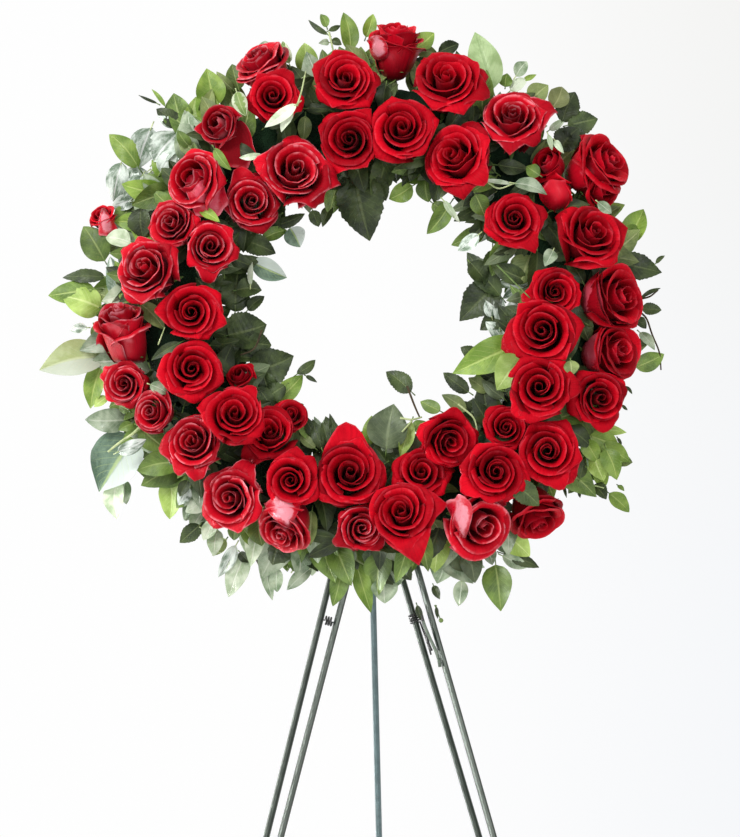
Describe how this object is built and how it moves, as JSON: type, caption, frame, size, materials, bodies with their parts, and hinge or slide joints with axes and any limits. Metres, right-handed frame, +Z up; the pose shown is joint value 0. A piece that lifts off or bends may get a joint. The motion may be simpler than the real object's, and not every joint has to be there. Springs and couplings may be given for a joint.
{
  "type": "funeral wreath on wire easel",
  "caption": "Standing ring of red roses and mixed greenery in a foam ring and tray, carried on a folding three-legged wire easel.",
  "frame": {"origin": "on the floor, midway between the object's extremes in X and Y", "axes": "+Z up; the wreath faces -Y and the rear leg reaches towards +Y; +X is to the right of someone facing the wreath"},
  "size_m": [0.6252, 0.5028, 1.3043],
  "materials": {
    "petal": "satin",
    "leaf": "satin",
    "foam": "matte",
    "tray": "satin",
    "enamel": "gloss",
    "binding": "satin"
  },
  "bodies": {
    "wreath_and_front": {"rose_top_01": "petal", "rose_top_02": "petal", "rose_top_03": "petal", "rose_top_04": "petal", "rose_top_05": "petal", "rose_top_06": "petal", "rose_top_07": "petal", "rose_top_08": "petal", "rose_top_09": "petal", "rose_top_10": "petal", "rose_left_01": "petal", "rose_left_02": "petal", "rose_left_03": "petal", "rose_left_04": "petal", "rose_left_05": "petal", "rose_left_06": "petal", "rose_left_07": "petal", "rose_left_08": "petal", "rose_left_09": "petal", "rose_left_10": "petal", "rose_left_11": "petal", "rose_left_12": "petal", "rose_left_13": "petal", "rose_bottom_01": "petal", "rose_bottom_02": "petal", "rose_bottom_03": "petal", "rose_bottom_04": "petal", "rose_bottom_05": "petal", "rose_bottom_06": "petal", "rose_bottom_07": "petal", "rose_bottom_08": "petal", "rose_bottom_09": "petal", "rose_bottom_10": "petal", "rose_bottom_11": "petal", "rose_right_01": "petal", "rose_right_02": "petal", "rose_right_03": "petal", "rose_right_04": "petal", "rose_right_05": "petal", "rose_right_06": "petal", "rose_right_07": "petal", "rose_right_08": "petal", "rose_right_09": "petal", "rose_right_10": "petal", "rose_right_11": "petal", "rose_right_12": "petal", "greenery_top": "leaf", "greenery_left": "leaf", "greenery_bottom": "leaf", "greenery_right": "leaf", "greenery_inner_left": "leaf", "greenery_inner_right": "leaf", "foam_ring": "foam", "ring_tray": "tray", "front_legs": "enamel", "hinge_bar": "enamel", "support_prongs": "enamel", "binding_left": "binding", "binding_right": "binding"},
    "rear_leg": {"rear_leg": "enamel"}
  },
  "joints": [
    {"name": "rear_leg_fold", "type": "hinge", "parent": "wreath_and_front", "child": "rear_leg", "pos_m": [0.0155, -0.09541, 0.832], "axis": [-1, 0, 0], "range_deg": [0, 31.5]}
  ]
}
